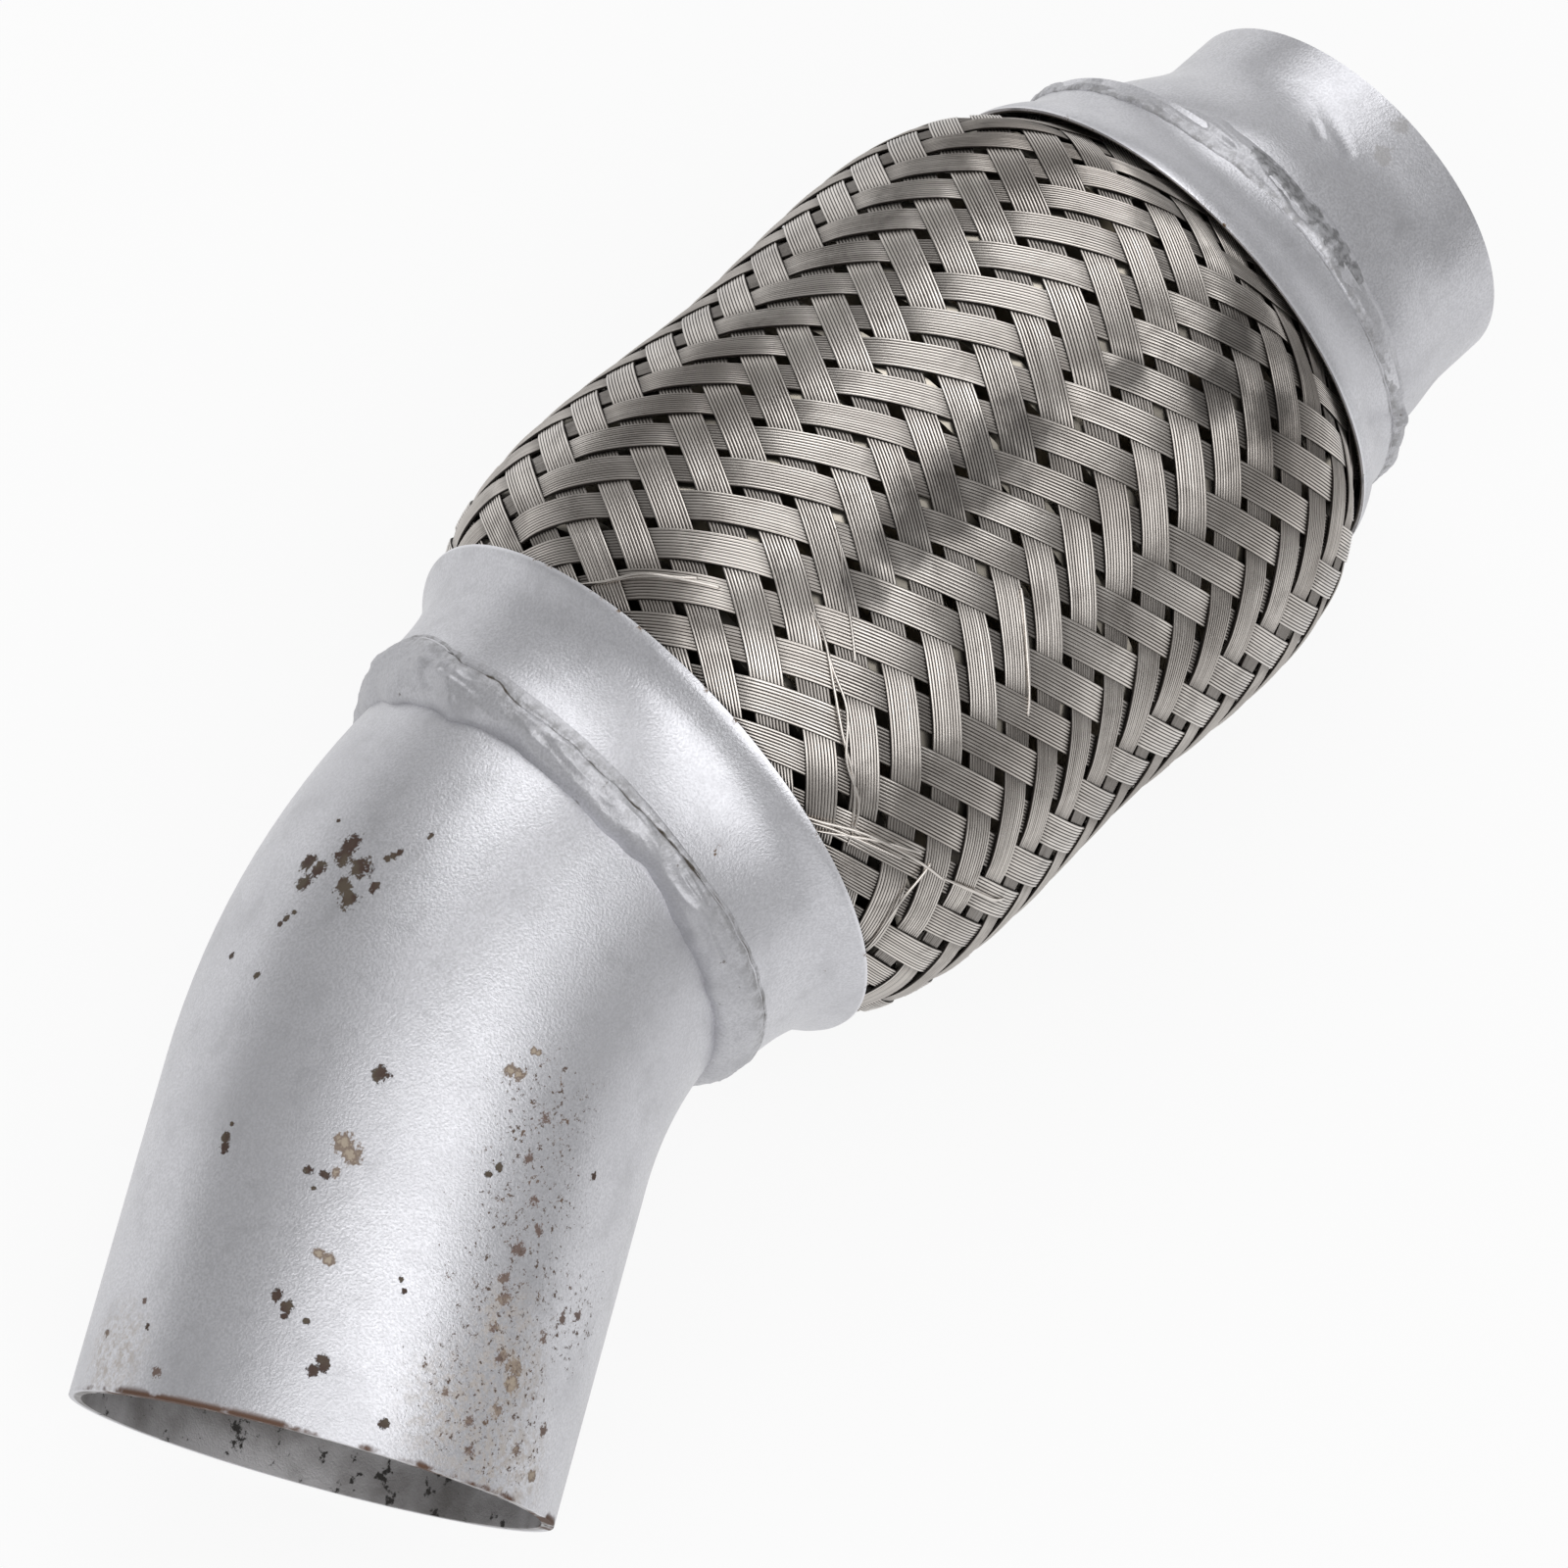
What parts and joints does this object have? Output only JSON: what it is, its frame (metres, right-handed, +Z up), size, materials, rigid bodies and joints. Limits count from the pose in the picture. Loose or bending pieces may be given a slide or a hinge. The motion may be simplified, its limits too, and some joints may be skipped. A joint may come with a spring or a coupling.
{
  "type": "exhaust flex pipe",
  "caption": "Braided exhaust flex pipe with steel end caps, a bent steel tube welded to one end and a short reducing stub welded to the other",
  "frame": {"origin": "On the ground under the middle of the outline of the pipe as it lies", "axes": "+X along the flexible middle towards the reducing stub, +Y away from the side the elbow bends to, +Z up"},
  "size_m": [0.2438, 0.1061, 0.0904],
  "materials": {
    "tube_paint": "satin silver heat paint, chipped and lightly rusted",
    "cap_paint": "satin silver heat paint",
    "weld": "weld bead under silver paint, with soot and rust spots",
    "braid_wire": "woven stainless wire, warm grey with dark smudges",
    "bellows_steel": "thin bright stainless sheet",
    "inner_steel": "sooty stainless sheet"
  },
  "bodies": {
    "inlet_side": {"elbow_tube": "tube_paint", "elbow_weld": "weld", "inlet_cap": "cap_paint", "inlet_sleeve": "inner_steel", "bellows": "bellows_steel", "interlock_liner": "inner_steel", "wire_braid": "braid_wire"},
    "outlet_side": {"outlet_sleeve": "inner_steel", "outlet_cap": "cap_paint", "outlet_weld": "weld", "outlet_stub": "tube_paint"}
  },
  "joints": [
    {"name": "flex_bend", "type": "hinge", "parent": "inlet_side", "child": "outlet_side", "pos_m": [0.03593, 0.00786, 0.0452], "axis": [0, -0.3906, 0.9206], "range_deg": [-8, 8], "stiffness_Nm_per_rad": 60, "deforming": ["bellows", "interlock_liner", "wire_braid"]}
  ]
}
